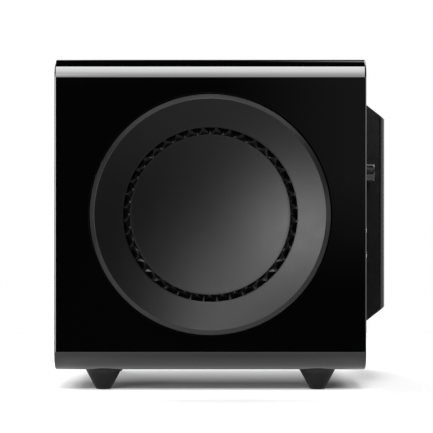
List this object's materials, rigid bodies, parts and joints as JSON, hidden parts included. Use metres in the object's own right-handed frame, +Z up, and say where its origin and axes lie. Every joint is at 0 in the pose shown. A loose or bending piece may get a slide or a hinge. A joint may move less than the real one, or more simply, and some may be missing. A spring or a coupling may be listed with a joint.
{
  "type": "powered subwoofer",
  "caption": "Compact gloss black cube subwoofer on tapered feet, with opposed side-firing dished metal drivers and a finned amplifier panel at the back.",
  "frame": {"origin": "on the floor, under the centre of the overall box", "axes": "+Z up, -Y towards the front, +Y towards the amplifier panel, +X and -X along the drivers' axis"},
  "size_m": [0.33, 0.3592, 0.353],
  "materials": {
    "gloss_lacquer": "high gloss black lacquer over fibreboard",
    "raw_board": "raw fibreboard",
    "fibre_wadding": "soft polyester fibre",
    "foot_rubber": "satin moulded rubber",
    "dark_screw": "black passivated steel",
    "dish_metal": "satin dark anodised",
    "surround_rubber": "matte moulded rubber",
    "cast_frame": "black painted casting",
    "cone_paper": "pressed fibre",
    "former_film": "amber film",
    "copper_winding": "enamelled copper wire",
    "spider_cloth": "resin treated cloth",
    "motor_steel": "zinc plated steel",
    "ferrite": "ground ferrite",
    "gasket_foam": "closed cell foam",
    "black_plastic": "fine textured moulding",
    "lead_jacket": "flexible jacket",
    "panel_paint": "fine black powder coat",
    "heatsink_metal": "black anodised casting",
    "cover_plastic": "moulded cover",
    "circuit_laminate": "green solder mask",
    "capacitor_sleeve": "shrink sleeve",
    "transformer_wrap": "yellow tape over windings",
    "nickel_plate": "bright nickel plate",
    "phono_core": "white or red insulator",
    "control_metal": "plated steel",
    "knob_plastic": "satin black",
    "lens_plastic": "frosted light pipe",
    "inlet_plastic": "glossy moulding"
  },
  "bodies": {
    "root": {"cabinet_shell": "gloss_lacquer", "rear_baffle": "gloss_lacquer", "cabinet_brace": "raw_board", "wadding_pads": "fibre_wadding", "foot_front_left": "foot_rubber", "foot_front_right": "foot_rubber", "foot_rear_left": "foot_rubber", "foot_rear_right": "foot_rubber", "foot_screws": "dark_screw", "driver_gaskets": "gasket_foam", "driver_screws": "dark_screw", "driver_terminals": "black_plastic", "driver_leads": "lead_jacket", "amp_panel": "panel_paint", "amp_panel_gasket": "gasket_foam", "panel_screws": "dark_screw", "heatsink": "heatsink_metal", "amp_enclosure": "cover_plastic", "amplifier_board": "circuit_laminate", "board_capacitors": "capacitor_sleeve", "power_transformer": "transformer_wrap", "rca_sockets": "nickel_plate", "rca_insulators": "phono_core", "potentiometers": "control_metal", "slide_switch_bodies": "control_metal", "status_lens": "lens_plastic", "speaker_terminal_block": "black_plastic", "rocker_frame": "inlet_plastic", "mains_inlet": "inlet_plastic", "inlet_pins": "nickel_plate", "left_trim_ring": "dish_metal", "left_basket": "cast_frame", "left_surround": "surround_rubber", "left_spider": "spider_cloth", "left_top_plate": "motor_steel", "left_magnet": "ferrite", "left_yoke": "motor_steel", "right_trim_ring": "dish_metal", "right_basket": "cast_frame", "right_surround": "surround_rubber", "right_spider": "spider_cloth", "right_top_plate": "motor_steel", "right_magnet": "ferrite", "right_yoke": "motor_steel"},
    "left_diaphragm_assembly": {"left_diaphragm": "dish_metal", "left_cone": "cone_paper", "left_voice_coil_former": "former_film", "left_voice_coil": "copper_winding"},
    "right_diaphragm_assembly": {"right_diaphragm": "dish_metal", "right_cone": "cone_paper", "right_voice_coil_former": "former_film", "right_voice_coil": "copper_winding"},
    "volume_control": {"volume_knob": "knob_plastic", "volume_shaft": "control_metal"},
    "crossover_control": {"crossover_knob": "knob_plastic", "crossover_shaft": "control_metal"},
    "phase_switch": {"phase_slider": "black_plastic"},
    "power_mode_switch": {"power_mode_slider": "black_plastic"},
    "eq_switch": {"eq_button": "knob_plastic"},
    "power_switch": {"power_rocker": "inlet_plastic"}
  },
  "joints": [
    {"name": "left_diaphragm_travel", "type": "slide", "parent": "root", "child": "left_diaphragm_assembly", "axis": [-1, 0, 0], "range_m": [-0.01, 0.01], "stiffness_N_per_m": 2500, "deforming": ["left_surround", "left_spider"]},
    {"name": "right_diaphragm_travel", "type": "slide", "parent": "root", "child": "right_diaphragm_assembly", "axis": [1, 0, 0], "range_m": [-0.01, 0.01], "stiffness_N_per_m": 2500, "deforming": ["right_surround", "right_spider"]},
    {"name": "volume_turn", "type": "hinge", "parent": "root", "child": "volume_control", "pos_m": [0.092, 0.151, 0.2336], "axis": [0, -1, 0], "range_deg": [-150, 150]},
    {"name": "crossover_turn", "type": "hinge", "parent": "root", "child": "crossover_control", "pos_m": [0.065, 0.151, 0.2336], "axis": [0, -1, 0], "range_deg": [-150, 150]},
    {"name": "phase_slide", "type": "slide", "parent": "root", "child": "phase_switch", "axis": [0, 0, 1], "range_m": [0, 0.004]},
    {"name": "power_mode_slide", "type": "slide", "parent": "root", "child": "power_mode_switch", "axis": [0, 0, 1], "range_m": [0, 0.006]},
    {"name": "eq_button_press", "type": "slide", "parent": "root", "child": "eq_switch", "axis": [0, -1, 0], "range_m": [0, 0.001], "stiffness_N_per_m": 400},
    {"name": "power_rocker_tilt", "type": "hinge", "parent": "root", "child": "power_switch", "pos_m": [-0.086, 0.1465, 0.146], "axis": [1, 0, 0], "range_deg": [0, 16]}
  ],
  "couplings": [
    {"joint": "right_diaphragm_travel", "follows": "left_diaphragm_travel", "ratio": 1}
  ]
}
